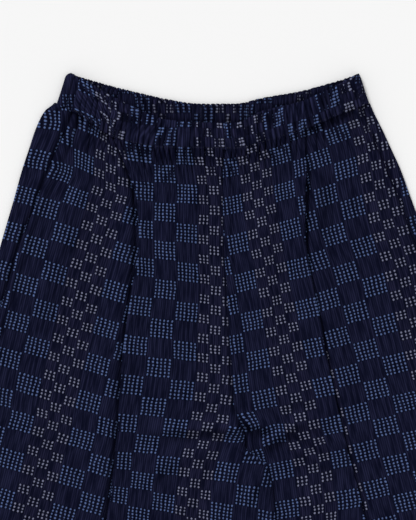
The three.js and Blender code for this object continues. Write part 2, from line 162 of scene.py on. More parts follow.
# Which set of uneven numbers each row of gathers takes
WAIST_SET = 3
BACK_CASING_SET = 7
HEM_SET = 5

# How fast a form grows from the first edge of its stretch and fades towards the last, as pairs of
# rates: 5 means that it takes a fifth of the stretch
FOLD_TAPER = (1 / 0.3, 1 / 0.3)
OUTER_GATHERS = (14, 10)
OUTER_FOLDS = (5, 3)
INNER_GATHERS = (24, 24)
INNER_FOLDS = (6, 16)
CASING_ENDS = (60, 60)
HEM_ENDS = (20, 20)
ROLL_START = 5
WRAP_START = 3

# Rounds of the sums that settle where a row of points or of dots lies
KNOT_ROUNDS = 12
LATTICE_ROUNDS = 8

# Numbers that make the uneven numbers
SCATTER_STEP = 12.9898
SCATTER_CHOICE = 78.233
SCATTER_SPREAD = 43758.5453

# Angle in degrees up to which an edge is shaded smooth
SMOOTH_ANGLE = 50


class Side(Enum):
    """Side of the garment as a viewer sees it: the name and the sign of x."""

    LEFT = ("left", -1)
    RIGHT = ("right", 1)

    @property
    def label(self) -> str:
        """Name of the side."""
        return self.value[0]

    @property
    def sign(self) -> int:
        """Sign of x on this side."""
        return self.value[1]


class Layer(Enum):
    """A side of the waist, which is lower in front than behind."""

    FRONT = "front"
    BACK = "back"


def clamp(value: Values) -> Values:
    """Keep values from 0 to 1."""
    return np.clip(value, 0.0, 1.0)


def smooth(value: Values) -> Values:
    """Ease values from 0 to 1."""
    held = clamp(value)
    return held * held * (3.0 - 2.0 * held)


def between(share: Values, rates: tuple[float, float]) -> Values:
    """Ease from 0 at share 0 to 1, and back to 0 at share 1, at a rate for each end."""
    return smooth(share * rates[0]) * smooth((1 - share) * rates[1])


def spread(count: int) -> Values:
    """Even shares from 0 to 1, as a row."""
    return np.linspace(0, 1, count)[None, :]


def lerp(first: Values, last: Values, share: Values) -> Values:
    """Value at a share of the way from the first to the last."""
    return first + (last - first) * share


def scatter(index: Values, chosen: int = 0) -> Values:
    """An uneven number from 0 to 1 for each whole number, the same on every run."""
    turn = np.asarray(index) * SCATTER_STEP + chosen * SCATTER_CHOICE
    value = np.sin(turn) * SCATTER_SPREAD
    return value - np.floor(value)


@dataclass(frozen=True)
class Track:
    """A smooth curve through the rows of a table that never overshoots them."""

    places: tuple[float, ...]
    values: tuple[float, ...]

    def at(self, place: Values) -> Values:
        """Value at each place.

        Args:
            place: Places along the table's first column.

        Returns:
            The values there, held at the ends of the table.
        """
        keys = np.asarray(self.places, dtype=float)
        values = np.asarray(self.values, dtype=float)
        rise = np.diff(values) / np.diff(keys)
        before = np.concatenate([rise[:1], rise])
        after = np.concatenate([rise, rise[-1:]])
        same = before * after > 0
        total = np.where(same, before + after, 1.0)
        slopes = np.where(same, 2.0 * before * after / total, 0.0)
        held = np.clip(place, keys[0], keys[-1])
        i = np.clip(np.searchsorted(keys, held, side="left") - 1, 0, len(keys) - 2)
        span = keys[i + 1] - keys[i]
        t = (held - keys[i]) / span
        step = values[i + 1] - values[i]
        start = slopes[i] * span
        end = slopes[i + 1] * span
        curve = t * t * (3 * step - 2 * start - end) + t * t * t * (start + end - 2 * step)
        return values[i] + t * start + curve


def tracks(names: Sequence[str], rows: Sequence[Sequence[float]]) -> dict[str, Track]:
    """A table with named columns as one curve for each column.

    Args:
        names: The columns' names, the first of which is the place along the curve.
        rows: The rows, in order of their place.

    Returns:
        A curve for each column after the first.
    """
    places = tuple(row[0] for row in rows)
    return {name: Track(places, tuple(row[k] for row in rows)) for k, name in enumerate(names) if k}


# How far the casing's top corners are rounded, and the depth of its seam at each side
CORNER_ROUND = {Side.LEFT: 4.5, Side.RIGHT: 0.8}
CASING_FOOT = {Side.LEFT: 50.0, Side.RIGHT: 42.0}

# Edges and seams of the trousers at each depth, as x
EDGES = tracks(
    ("depth", "left_side", "left_seam", "left_pleat", "left_inner",
     "right_inner", "right_pleat", "right_seam", "right_side"),
    (
        (0, -176, -160, -124, 15, 15, 110, 167, 176),
        (36, -190, -165, -123, 15, 15, 110, 178, 188),
        (46, -202, -168.5, -122.5, 15, 15, 110, 181, 192),
        (68, -213, -176, -121, 15, 15, 110, 188, 203),
        (92, -221, -188, -113, 14, 14, 110, 199, 214),
        (116, -229, -198, -103, 12, 12, 112, 209, 225),
        (152, -239, -211, -91, 12, 12, 110, 224, 238),
        (200, -253, -231, -88, 13, 13, 111, 241, 256),
        (248, -266, -245, -95, 16, 16, 118, 258, 272),
        (300, -280, -261, -103, 19, 19, 129, 276, 290),
        (350, -294, -277, -109, 22, 22, 138, 293, 308),
        (397, -307, -291, -112, 25, 25, 148, 308, 323),
        (440, -319, -304, -115, 38, 38, 158, 322, 338),
        (447, -321, -306, -116, 38, 38, 160, 324, 340),
        (470, -327, -313, -118, 64, 28, 166, 331, 347),
        (500, -334, -320, -122, 71, 18, 174, 340, 356),
        (545, -344, -330, -128, 75, 8, 184, 352, 368),
        (608, -355, -341, -136, 77, 1, 196, 364, 380),
        (680, -360, -346, -143, 66, 1, 204, 369, 385),
        (752, -349, -335, -148, 42, 11, 206, 360, 376),
        (824, -316, -303, -148, 6, 34, 198, 330, 345),
        (876, -268, -257, -141, -32, 61, 182, 288, 300),
        (915, -220, -211, -136, -52, 78, 169, 251, 260),
        (940, -216, -207, -134, -50, 76, 168, 247, 256),
    ),
)

# Depth of one hidden layer of each pleat, height of the roll beside it, and how far its foot lies
# from the pleat's edge
PLEATS = tracks(
    ("depth", "left", "right", "left_roll", "right_roll", "left_foot", "right_foot"),
    (
        (60, 58, 56, 0, 0, 2, 2),
        (92, 59, 57, 2.5, 2, 2, 4),
        (112, 59, 58, 6, 8, 2, 6),
        (130, 60, 59, 8, 12, 3, 6),
        (152, 61, 60, 10, 13, 5, 5),
        (175, 60, 59, 11, 10, 6, 4),
        (200, 59, 57, 10, 7, 6, 3),
        (260, 54, 53, 6.5, 4.5, 3, 2.2),
        (330, 48, 48, 6, 6, 2.2, 2.2),
        (430, 45, 45, 7, 4, 2.2, 2.2),
        (520, 42, 42, 7, 3.4, 2.2, 2.2),
        (760, 30, 30, 3, 3, 2.2, 2.2),
        (940, 14, 14, 0, 0, 2.2, 2.2),
    ),
)

# Edges of the two waist casings along the waist, as depths
WAIST = tracks(
    ("x", "back_top", "back_seam", "front_top", "front_seam"),
    (
        (-188, 0, 36, 0, 36),
        (-176, 0, 38, 0, 42.5),
        (-160, 5, 43, 6, 51),
        (-118, 17, 55, 30, 78),
        (-89, 24, 62, 44, 87),
        (-58, 31, 69, 56, 91),
        (-16, 37, 75, 60, 91),
        (26, 37, 75, 60, 92),
        (59, 30, 69, 46, 85),
        (104, 22, 60, 35, 70),
        (134, 14, 52, 22, 58),
        (158, 7, 45, 10, 47),
        (176, 1, 39, 1, 40.5),
        (188, 0, 36, 0, 36.5),
    ),
)

# How rows of the panels follow the casing's seam, and the share of the casing's height and of the
# gathers that they have
ROWS = tracks(
    ("level", "follow", "waves", "casing", "hem"),
    (
        (90, 1, 1, 1, 0),
        (99, 1, 0.75, 0.78, 0),
        (112, 0.94, 0.4, 0.5, 0),
        (134, 0.8, 0.1, 0.26, 0),
        (165, 0.5, 0, 0.1, 0),
        (200, 0.22, 0, 0, 0),
        (245, 0.05, 0, 0, 0),
        (300, 0, 0, 0, 0),
        (680, 0, 0, 0, 0),
        (730, 0, 0, 0, 0.08),
        (775, 0, 0, 0, 0.2),
        (815, 0, 0, 0, 0.35),
        (850, 0, 0, 0, 0.55),
        (880, 0, 0, 0, 0.8),
        (900, 0, 0, 0, 0.95),
        (914.7, 0, 0, 0, 1),
    ),
)
TOP_LEVEL = 90.0

# Levels of the rows of points: from, to and the step between rows
FRONT_LEVELS = ((90, 150, 3.0), (150, 396, 8.0), (396, 480, 2.6), (480, 540, 6.5),
                (540, 820, 12.0), (820, 914.7, 6.0))
BACK_LEVELS = ((90, 150, 4.0), (150, 540, 7.0), (540, 820, 12.0), (820, 914.7, 6.0))
CASING_ROWS = 20
HEM_ROWS = 9


@dataclass(frozen=True)
class Fold:
    """A soft fold of the cloth between two places; a trough has a negative height."""

    x: float
    depth: float
    to_x: float
    to_depth: float
    spread: float
    height: float

    def at(self, x: Values, depth: Values) -> Values:
        """Height that the fold adds at each place."""
        across = self.to_x - self.x
        down = self.to_depth - self.depth
        length = math.hypot(across, down)
        run = ((x - self.x) * across + (depth - self.depth) * down) / length
        off = ((x - self.x) * down - (depth - self.depth) * across) / length
        ends = between(run / length, FOLD_TAPER)
        return self.height * ends * np.exp(-((off / self.spread) ** 2))


# Long soft folds of each front, and the short steep ones round the crotch
FOLDS = {
    Side.LEFT: (
        Fold(-150, 110, -222, 330, 14, 5.0),
        Fold(-60, 104, -48, 300, 13, 4.5),
        Fold(-20, 110, -36, 210, 9, 3.4),
        Fold(-160, 40, -165, 76, 6, -4.0),
        Fold(-150, 50, -158, 96, 5, 2.4),
        Fold(-176, 52, -104, 96, 5, -3.4),
        Fold(-72, 84, -66, 128, 3.5, -1.6),
        Fold(-24, 92, -15, 150, 4, -1.8),
        Fold(4, 92, 8, 150, 3.5, -1.4),
        Fold(66, 424, -84, 428, 8, 7.5),
        Fold(10, 446, -90, 480, 12, 4.0),
        Fold(-4, 446, -58, 560, 12, 4.0),
        Fold(72, 462, 36, 520, 4.5, 3.8),
        Fold(58, 456, 44, 520, 4, 3.0),
        Fold(-210, 380, -270, 700, 18, 5.0),
        Fold(-60, 600, -84, 860, 14, 5.0),
        Fold(-190, 640, -176, 880, 12, 5.4),
    ),
    Side.RIGHT: (
        Fold(62, 112, 66, 330, 13, 4.0),
        Fold(148, 86, 176, 260, 12, 4.8),
        Fold(178, 84, 238, 330, 11, 3.6),
        Fold(32, 84, 30, 150, 4, -1.8),
        Fold(58, 88, 60, 128, 3.5, -1.4),
        Fold(86, 86, 176, 44, 5, -3.4),
        Fold(-2, 411, 84, 428, 7.5, 13.0),
        Fold(52, 452, 116, 409, 7.5, 10.0),
        Fold(78, 398, 122, 384, 9, 4.0),
        Fold(84, 424, 146, 458, 5, 4.0),
        Fold(84, 440, 150, 480, 5, 3.6),
        Fold(96, 430, 150, 405, 12, 4.0),
        Fold(110, 470, 146, 640, 13, 4.4),
        Fold(230, 430, 292, 680, 18, 5.0),
        Fold(130, 700, 142, 880, 12, 4.6),
        Fold(236, 660, 222, 880, 12, 5.4),
    ),
}


def fold_height(folds: Sequence[Fold], x: Values, depth: Values) -> Values:
    """Height of a set of folds at each place."""
    return sum((fold.at(x, depth) for fold in folds), np.zeros_like(x))


@dataclass(frozen=True)
class Pull:
    """A place where the cloth is pulled askew, with the shift there and how far it reaches."""

    x: float
    depth: float
    shift_x: float
    shift_depth: float
    reach: float

    def share(self, x: Values, depth: Values) -> Values:
        """Share of the shift at each place."""
        return np.exp(-((x - self.x) ** 2 + (depth - self.depth) ** 2) / self.reach**2)


@dataclass(frozen=True)
class Lattice:
    """How the cloth lies in one region: counts of dots across it and rows along it.

    The line is one column of dots. Its table gives, at each depth, its x and its row.
    """

    depths: tuple[float, ...]
    x: tuple[float, ...]
    rows: tuple[float, ...]
    pitch: Track
    tilt: Track
    column: float = 0.0
    bend: float = 0.62
    bend_reach: float = 75.0
    squeeze: Track = Track((0, 1), (0, 0))
    squeeze_set: float = -40.0
    squeeze_reach: float = 22.0
    pulls: tuple[Pull, ...] = ()
    mirrored: bool = False

    def counts(self, x: Values, depth: Values) -> tuple[Values, Values]:
        """Counts of the pattern at each place, whose rows follow the casing's seam near it.

        Args:
            x: Places across the garment.
            depth: Places down the garment.

        Returns:
            Columns counted from the middle of a white stripe, and rows.
        """
        seam = WAIST["front_seam"]
        shares = [pull.share(x, depth) for pull in self.pulls]
        for pull, share in zip(self.pulls, shares):
            x = x - pull.shift_x * share
            depth = depth - pull.shift_depth * share
        line = Track(self.depths, self.x)
        number = Track(self.depths, self.rows)
        first, last = self.depths[0], self.depths[-1]
        start = (self.rows[1] - self.rows[0]) / (self.depths[1] - self.depths[0])
        end = (self.rows[-1] - self.rows[-2]) / (self.depths[-1] - self.depths[-2])
        bend = self.bend * np.exp(-np.maximum(depth - seam.at(x), 0.0) / self.bend_reach)
        along = np.asarray(depth, dtype=float)
        for _ in range(LATTICE_ROUNDS):
            off = x - line.at(along)
            straight = self.tilt.at(along) * off * (1.0 - bend)
            curved = bend * (seam.at(x) - seam.at(line.at(along)))
            along = depth - straight - curved
        off = x - line.at(along)
        columns = self.column + off / self.pitch.at(along)
        near = np.exp(-(((off - self.squeeze_set) / self.squeeze_reach) ** 2))
        columns = columns + self.squeeze.at(along) * near
        rows = number.at(along) + np.minimum(along - first, 0.0) * start
        rows = rows + np.maximum(along - last, 0.0) * end
        return columns, (2.0 - rows if self.mirrored else rows)


# Depths of the lines of dots below the photo, and the rows that they are further down
LOWER_DEPTHS = (680, 752, 824, 876, 915, 940)
LOWER_ROWS = (0, 19.5, 39, 53, 63.5, 70)


def lower_rows(first: float) -> tuple[float, ...]:
    """Rows of a line of dots at the lower depths, from the first of them on."""
    return tuple(first + further for further in LOWER_ROWS)


# The cloth's pattern on the two sides of each pleat
LEFT_OUTER = Lattice(
    depths=(92.8, 115.2, 136.8, 157, 177, 199.4, 222, 244.8, 267.6, 378, 401.4, 423, 445.7, 468.6,
            491.4, *LOWER_DEPTHS),
    x=(-122.4, -122.4, -122.4, -127.8, -133.2, -139.4, -146, -152.4, -157.8, -183.6, -188.8, -192,
       -198.4, -204, -209.6, -250, -246, -228, -203, -178, -176),
    rows=(*range(-29, 20, 6), *range(49, 80, 6), *lower_rows(129)),
    pitch=Track((60, 680, 780, 860, 915, 940), (4.84, 4.84, 4.5, 3.4, 2.6, 2.6)),
    tilt=Track((100, 560, 700, 900), (0.29, 0.29, 0.15, 0.0)),
    pulls=(Pull(-150, 60, 13, 4, 28), Pull(-185, 112, 9, 0, 28)),
)
LEFT_WRAP = replace(LEFT_OUTER, pulls=(Pull(-185, 42, 21, 0, 45),))
LEFT_INNER = Lattice(
    depths=(50.4, 72, 94.8, 117.6, 140.6, 165, 189.1, 213.1, 237.1, 261, 331.9, 354.8, 378.5, 402,
            424.2, 445.8, 468.6, 492, 515.4, *LOWER_DEPTHS),
    x=(-7.8, -6.6, -5.4, -2.4, 1, 2, 1.6, 1.6, 2.9, 3.6, 2.6, 2.8, 1.1, -1.6, -6.6, -12, -18, -21.6,
       -24, -40, -52, -70, -86, -95, -94),
    rows=(*range(-23, 32, 6), *range(49, 98, 6), *lower_rows(141)),
    pitch=Track((60, 90, 120, 150, 240, 320, 400, 500, 680, 780, 860, 915, 940),
                (4.2, 4.5, 4.4, 4.4, 4.42, 4.8, 5.1, 4.65, 4.7, 4.3, 3.3, 2.6, 2.6)),
    squeeze=Track((60, 90, 120, 160), (-3.0, -2.1, -0.9, 0)),
    squeeze_set=-55.0,
    squeeze_reach=28.0,
    pulls=(Pull(50, 446, 1, -9, 13), Pull(28, 424, 2, 2, 12)),
    tilt=Track((150, 250, 460, 540, 700, 900), (0.06, 0.13, 0.1, 0.19, 0.1, 0.0)),
)
RIGHT_INNER = Lattice(
    depths=(48, 69.6, 91.2, 112.8, 134.4, 156, 178.2, 202.2, 224.8, 248.4, 272.4, 342.4, 365.8,
            389.5, 412.8, 435, 453.6, 474, 499.2, 522.6, *LOWER_DEPTHS),
    x=(40.8, 42.6, 46.2, 50.4, 52.8, 55, 58.6, 62.6, 67.2, 71.4, 76.2, 89.6, 94, 99.4, 104.2,
       109, 115.6, 120, 123, 126.6, 128, 130, 132, 128, 122, 121),
    rows=(*range(-29, 32, 6), *range(49, 98, 6), *lower_rows(139)),
    pitch=Track((60, 240, 320, 400, 680, 780, 860, 915, 940),
                (4.2, 4.2, 4.5, 4.9, 4.8, 4.3, 3.3, 2.6, 2.6)),
    tilt=Track((150, 215, 250, 330, 470, 540, 700, 900),
               (-0.27, -0.27, -0.23, -0.21, -0.2, -0.15, -0.1, 0.0)),
    pulls=(Pull(74, 430, 2, -6, 18), Pull(47, 424, 5, -2, 13), Pull(34, 408, -3, -1, 12)),
    mirrored=True,
)
RIGHT_OUTER = Lattice(
    depths=(20.4, 64.8, 103.2, 147.4, 194.4, 240, 286.8, 332.4, 379.2, 423.6, 469.2, 536.4,
            *LOWER_DEPTHS),
    x=(104.4, 115.2, 127.2, 135, 145.2, 159.6, 171.6, 183.6, 196.2, 207.6, 219.6, 237.6, 268,
       272, 256, 232, 208, 205),
    rows=(*(12 * step - 30.5 for step in range(11)), 107.5, *lower_rows(146)),
    pitch=Track((60, 350, 450, 680, 780, 860, 915, 940),
                (4.7, 4.7, 4.95, 4.9, 4.4, 3.3, 2.6, 2.6)),
    tilt=Track((150, 260, 360, 540, 700, 900), (-0.3, -0.3, -0.24, -0.22, -0.12, 0.0)),
    column=13.5,
    mirrored=True,
)


@dataclass
class Sheet:
    """A grid of points of cloth, a row for each level, with the pattern's counts at each."""

    x: Values
    depth: Values
    z: Values
    columns: Values
    rows: Values

    def metres(self) -> Values:
        """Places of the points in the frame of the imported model."""
        places = np.stack([self.x - MIDDLE, LENGTH / 2 - self.depth, self.z], axis=-1)
        return places.reshape(-1, 3) * MM


def joined(*parts: Sheet) -> Sheet:
    """One sheet of several that lie side by side."""
    names = [field.name for field in fields(Sheet)]
    return Sheet(*(np.hstack([getattr(part, name) for part in parts]) for name in names))


def deselect() -> None:
    """Leave nothing selected, so that the next operator acts on its own piece alone."""
    bpy.ops.object.select_all(action="DESELECT")


def lay_cloth(name: str, sheet: Sheet, wall: float, even: bool = True) -> bpy.types.Object:
    """Model a wall of cloth from a grid whose points are moved to a sheet's places.

    Args:
        name: Name of the piece.
        sheet: Places of the middle of the cloth, and the pattern's counts.
        wall: Thickness of the cloth in millimetres.
        even: Whether the wall keeps its thickness on slopes too.

    Returns:
        The piece, closed and smooth.
    """
    across, down = sheet.x.shape[1] - 1, sheet.x.shape[0] - 1
    deselect()
    bpy.ops.mesh.primitive_grid_add(x_subdivisions=across, y_subdivisions=down, size=1.0)
    piece = bpy.context.active_object
    piece.name = name
    mesh = piece.data
    mesh.name = name
    flat = np.empty(len(mesh.vertices) * 3)
    mesh.vertices.foreach_get("co", flat)
    flat = flat.reshape(-1, 3)
    column = np.rint((flat[:, 0] + 0.5) * across).astype(int)
    row = np.rint((0.5 - flat[:, 1]) * down).astype(int)
    order = row * (across + 1) + column
    mesh.vertices.foreach_set("co", sheet.metres()[order].ravel())
    counts = np.stack([sheet.columns.ravel(), sheet.rows.ravel()], axis=-1)[order]
    corners = np.empty(len(mesh.loops), dtype=np.int32)
    mesh.loops.foreach_get("vertex_index", corners)
    while mesh.uv_layers:
        mesh.uv_layers.remove(mesh.uv_layers[0])
    layer = mesh.uv_layers.new(name="cloth")
    layer.data.foreach_set("uv", counts[corners].ravel())
    mesh.update()
    modifier = piece.modifiers.new("wall", "SOLIDIFY")
    modifier.thickness = wall * MM
    modifier.offset = 0.0
    modifier.use_even_offset = even
    bpy.ops.object.modifier_apply(modifier=modifier.name)
    bpy.ops.object.shade_smooth_by_angle(angle=math.radians(SMOOTH_ANGLE))
    return piece


def levels(spans: Sequence[tuple[float, float, float]]) -> Values:
    """Levels of the rows of a panel.

    Args:
        spans: From, to and the step between rows, for each stretch.

    Returns:
        The levels as a column, for rows of points.
    """
    stops = [np.array([spans[0][0]], dtype=float)]
    for start, end, step in spans:
        count = max(1, round((end - start) / step))
        stops.append(np.linspace(start, end, count + 1)[1:])
    return np.concatenate(stops)[:, None]


def row_depth(level: Values, x: Values, layer: Layer = Layer.FRONT) -> Values:
    """Depth at x on a row of a panel, which follows its casing's seam near the waist."""
    seam = WAIST[f"{layer.value}_seam"].at(x)
    return level + ROWS["follow"].at(level) * (seam + SEAM_GAP - TOP_LEVEL)


def knot(edge: str, level: Values, layer: Layer = Layer.FRONT) -> Values:
    """x of an edge or seam on each row, where a row's depth hangs on x too."""
    x = EDGES[edge].at(level)
    for _ in range(KNOT_ROUNDS):
        x = EDGES[edge].at(row_depth(level, x, layer))
    return x


def overlap_lift(side: Side, x: Values, depth: Values) -> Values | float:
    """Lift of the left leg where it climbs over the inner edge of the right leg."""
    if side is Side.RIGHT:
        return 0.0
    start = smooth((depth - CROTCH + OVERLAP_START) / OVERLAP_START)
    end = EDGES["right_inner"].at(depth) - OVERLAP_CLEAR
    return OVERLAP_LIFT * start * smooth((x - end + OVERLAP_SLOPE) / OVERLAP_SLOPE)


def pleat_base(level: Values) -> Values:
    """Height of the cloth beside a pleat, and of the lower of its two hidden layers."""
    waist = ROWS["casing"].at(level) * PLEAT_RISE_WAIST
    return FRONT_REST + waist + ROWS["hem"].at(level) * PLEAT_RISE_HEM


def outer_height(level: Values, share: Values) -> Values:
    """Height of a front between its side seam (share 0) and its pleat (share 1)."""
    seam = lerp(SIDE_FOLD, PANEL_TOP, ROWS["casing"].at(level))
    return lerp(seam, pleat_base(level), smooth(share))


@dataclass(frozen=True)
class Gathers:
    """Broad crests of gathered cloth, with narrow uneven troughs between them.

    Each range holds the least value and how much is added to it at most.
    """

    pitch: float
    chosen: int
    widths: tuple[float, float] = (0.13, 0.13)
    sizes: tuple[float, float] = (0.4, 0.6)
    fades: tuple[float, float] = (0.6, 1.2)
    stray: float = 0.5

    def uneven(self, limits: tuple[float, float], wave: Values, kind: int) -> Values:
        """An uneven number of one kind for each gather, within a range."""
        return limits[0] + limits[1] * scatter(wave, self.chosen + kind)

    def trough(self, wave: Values) -> tuple[Values, Values, Values]:
        """Middle, width and size of the trough of each gather."""
        centre = wave + 0.5 + self.stray * (scatter(wave, self.chosen) - 0.5)
        return centre, self.uneven(self.widths, wave, 1), self.uneven(self.sizes, wave, 2)

    def troughs(self, x: Values, away: Values) -> Values:
        """Depth of the troughs as a share of the full depth.

        Args:
            x: Places along the seam.
            away: Distance from the seam.

        Returns:
            The share at each place: each trough fades away from the seam at its own rate.
        """
        place = x / self.pitch
        deepest = np.zeros(np.broadcast(x, away).shape)
        for step in (-1, 0, 1):
            wave = np.floor(place) + step
            centre, width, size = self.trough(wave)
            near = ROWS["waves"].at(TOP_LEVEL + away / self.uneven(self.fades, wave, 11))
            shape = np.exp(-(((place - centre) / width) ** 2))
            deepest = np.maximum(deepest, near * size * shape)
        return deepest

    def taken_up(self, x: Values) -> Values:
        """Cloth that each trough takes up, less an even share of it along its gather.

        Args:
            x: Places along the seam.

        Returns:
            The cloth taken up at each place, in troughs of full size.
        """
        place = x / self.pitch
        wave = np.floor(place)
        centre, width, size = self.trough(wave)
        return size * (0.5 + 0.5 * np.tanh((place - centre) / width) - (place - wave))


WAIST_GATHERS = Gathers(GATHER_PITCH, WAIST_SET)
STRIP_GATHERS = Gathers(GATHER_PITCH, BACK_CASING_SET, widths=(0.17, 0.17))
HEM_GATHERS = Gathers(HEM_PITCH, HEM_SET)


def panel_gathers(top_x: Values, hem_x: Values, level: Values) -> Values:
    """Height of the gathers of a front below the waist casing and above the hem casing.

    Args:
        top_x: x of each column of points on the top row.
        hem_x: x of each column of points on the bottom row.
        level: Levels of the rows.

    Returns:
        Heights above the cloth between the casings.
    """
    calm = lerp(1.0, CALM_SHARE, smooth((np.abs(top_x) - CALM_START) / CALM_WIDTH))
    crest = ROWS["waves"].at(level) * WAIST_SWELL * calm
    trough = WAIST_GATHERS.troughs(top_x, level - TOP_LEVEL) * (WAIST_SWELL + WAIST_PINCH)
    room = crest + TROUGH_ROOM + ROWS["casing"].at(level)
    hem = ROWS["hem"].at(level) * HEM_SWELL * (1 - HEM_GATHERS.troughs(hem_x, 0.0))
    return crest - np.minimum(trough, room) + hem


def seam_line(distance: Values, depth: float) -> Values:
    """Height near a seam: a narrow groove with a soft ridge of seam allowance beside it."""
    groove = depth * np.exp(-((distance / GROOVE_WIDTH) ** 2))
    ridge = ALLOWANCE * np.exp(-(((distance - ALLOWANCE_SET) / ALLOWANCE_WIDTH) ** 2))
    return ridge - groove


def half_turn(steps: int) -> tuple[Values, Values, Values]:
    """Shares of a half turn between its ends, and how far it bulges and rises there."""
    share = np.arange(1, steps) / steps
    angle = np.pi * (share - 0.5)
    return share, np.cos(angle), 1.0 + np.sin(angle)


def two_swells(share: Values) -> Values:
    """Two soft swells side by side, each from 0 to 1 and back."""
    return 0.5 - 0.5 * np.cos(4 * np.pi * share)


@dataclass
class Panel:
    """A panel of one leg, with the flat size and the area of its cut in metres."""

    side: Side
    flat: tuple[float, float]
    area: float
    kind = ""

    @property
    def node(self) -> str:
        """Name of the solid that the panel stands for."""
        return f"{self.kind}_{self.side.label}"

    def sheet(self) -> Sheet:
        """Section of the panel on each row."""
        raise NotImplementedError

    def build(self) -> bpy.types.Object:
        """Model the panel."""
        return lay_cloth(f"{self.node}_cloth", self.sheet(), SHELL)


@dataclass
class FrontPanel(Panel):
    """A front of one leg, with its reverse pleat folded in three layers.

    Its three parts are worked out from the levels of the rows, the x of the pleat's edge in the
    middle of its folds (fold), the x to which the pleat reaches underneath (under) and the lift of
    the pleat's own edge (edge_lift).
    """

    outer_points: int
    outer_lattice: Lattice
    inner_points: int
    inner_lattice: Lattice
    turn_steps: int = 6
    kind = "front"

    def sheet(self) -> Sheet:
        """Section of the front on each row, from the side seam to the centre seam or inseam."""
        label = self.side.label
        level = levels(FRONT_LEVELS)
        pleat = knot(f"{label}_pleat", level)
        fold = pleat - self.side.sign * PLEAT_PITCH / 2
        under = pleat - self.side.sign * PLEATS[label].at(level)
        edge_lift = EDGE_LIFT * PLEATS[f"{label}_roll"].at(row_depth(level, fold))
        sheet = joined(
            self.outer_part(level, fold),
            self.hidden_part(level, fold, under, edge_lift),
            self.inner_part(level, fold, under, edge_lift),
        )
        return replace(sheet, z=np.maximum(sheet.z, FRONT_LOWEST))

    def flatness(self, level: Values) -> Values:
        """Share of the seams' grooves on each row, less where the cloth is gathered."""
        return 1 - CALM_GROOVE * ROWS["waves"].at(level) - CALM_HEM_GROOVE * ROWS["hem"].at(level)

    def taken_up(self, level: Values, x: Values) -> Values:
        """Columns of the pattern that the waist's gathers take up on each row."""
        return ROWS["waves"].at(level) * COLUMNS_TAKEN * WAIST_GATHERS.taken_up(x[:1])

    def outer_part(self, level: Values, fold: Values) -> Sheet:
        """The front from its side seam to the edge of its pleat, with the roll beside that."""
        label = self.side.label
        seam = knot(f"{label}_seam", level) - self.side.sign * SEAM_GAP
        share = spread(self.outer_points)
        x = lerp(seam, fold, share)
        depth = row_depth(level, x)
        ends = between(share, OUTER_GATHERS)
        off = np.abs(x - fold)
        foot = PLEATS[f"{label}_foot"].at(depth)
        rise = 1 - np.exp(-np.maximum(off - foot, 0.0) / ROLL_RISE)
        roll = PLEATS[f"{label}_roll"].at(depth) * rise * np.exp(-((off / ROLL_REACH) ** 4))
        z = outer_height(level, share)
        z = z + fold_height(FOLDS[self.side], x, depth) * between(share, OUTER_FOLDS)
        z = z + panel_gathers(x[:1], x[-1:], level) * ends + roll * smooth(share * ROLL_START)
        z = z + seam_line(np.abs(x - seam), SIDE_GROOVE) * self.flatness(level)
        columns, rows = self.outer_lattice.counts(x, depth)
        return Sheet(x, depth, z, columns + ends * self.taken_up(level, x), rows)

    def hidden_part(self, level: Values, fold: Values, under: Values, edge_lift: Values) -> Sheet:
        """Two hidden layers of the pleat and its two folds, from the lower one upwards."""
        radius = PLEAT_PITCH / 2
        turn = self.side.sign * radius
        low = pleat_base(level)
        _, bulge, rise = half_turn(self.turn_steps)
        steps = spread(LAYER_POINTS)
        lower_x = lerp(fold, under + turn, steps[:, 1:])
        upper_x = lerp(under + turn, fold, steps)
        x = np.hstack([lower_x, under + turn - turn * bulge, upper_x, fold + turn * bulge])
        z = np.hstack([
            low + 0 * lower_x, low + radius * rise, low + PLEAT_PITCH + 0 * upper_x,
            low + PLEAT_PITCH + (radius + edge_lift / 2) * rise,
        ])
        tuck = PLEAT_TUCK * clamp(1 - (level - TOP_LEVEL) / PLEAT_TUCK_REACH)
        depth = row_depth(level, x) + tuck
        lower = lower_x.shape[1] + self.turn_steps // 2
        outer = self.outer_lattice.counts(x[:, :lower], depth[:, :lower])
        inner = self.inner_lattice.counts(2 * fold - x[:, lower:], depth[:, lower:])
        columns, rows = (np.hstack(pair) for pair in zip(outer, inner))
        return Sheet(x, depth, z, columns, rows)

    def inner_part(self, level: Values, fold: Values, under: Values, edge_lift: Values) -> Sheet:
        """The front from its pleat, on whose hidden layers it lies, to its centre seam."""
        sign = self.side.sign
        inner = knot(f"{self.side.label}_inner", level) + sign * SEAM_GAP / 2
        share = spread(self.inner_points)
        x = lerp(fold, inner, share)
        depth = row_depth(level, x)
        dip = smooth((level - CROTCH + CROTCH_DIP) / CROTCH_DIP)
        rest = lerp(CENTRE_SEAM, INSEAM, dip)
        rest = rest + ROWS["casing"].at(level) * (PANEL_TOP - CENTRE_SEAM)
        rest = np.maximum(rest, lerp(CENTRE_SEAM + LAYER_GAP, rest, share))
        sink = smooth((-sign * (x - under) - PLEAT_RUN_ON) / PLEAT_SLOPE)
        z = lerp(pleat_base(level) + 2 * PLEAT_PITCH, rest, sink)
        z = z + fold_height(FOLDS[self.side], x, depth) * between(share, INNER_FOLDS)
        z = z + panel_gathers(x[:1], x[-1:], level) * between(share, INNER_GATHERS)
        z = z + overlap_lift(self.side, x, depth)
        z = z + seam_line(np.abs(x - inner), CENTRE_GROOVE) * self.flatness(level)
        z = z + edge_lift * np.exp(-((np.abs(x - fold) / EDGE_REACH) ** 2))
        columns, rows = self.inner_lattice.counts(x, depth)
        return Sheet(x, depth, z, columns + self.taken_up(level, x), rows)


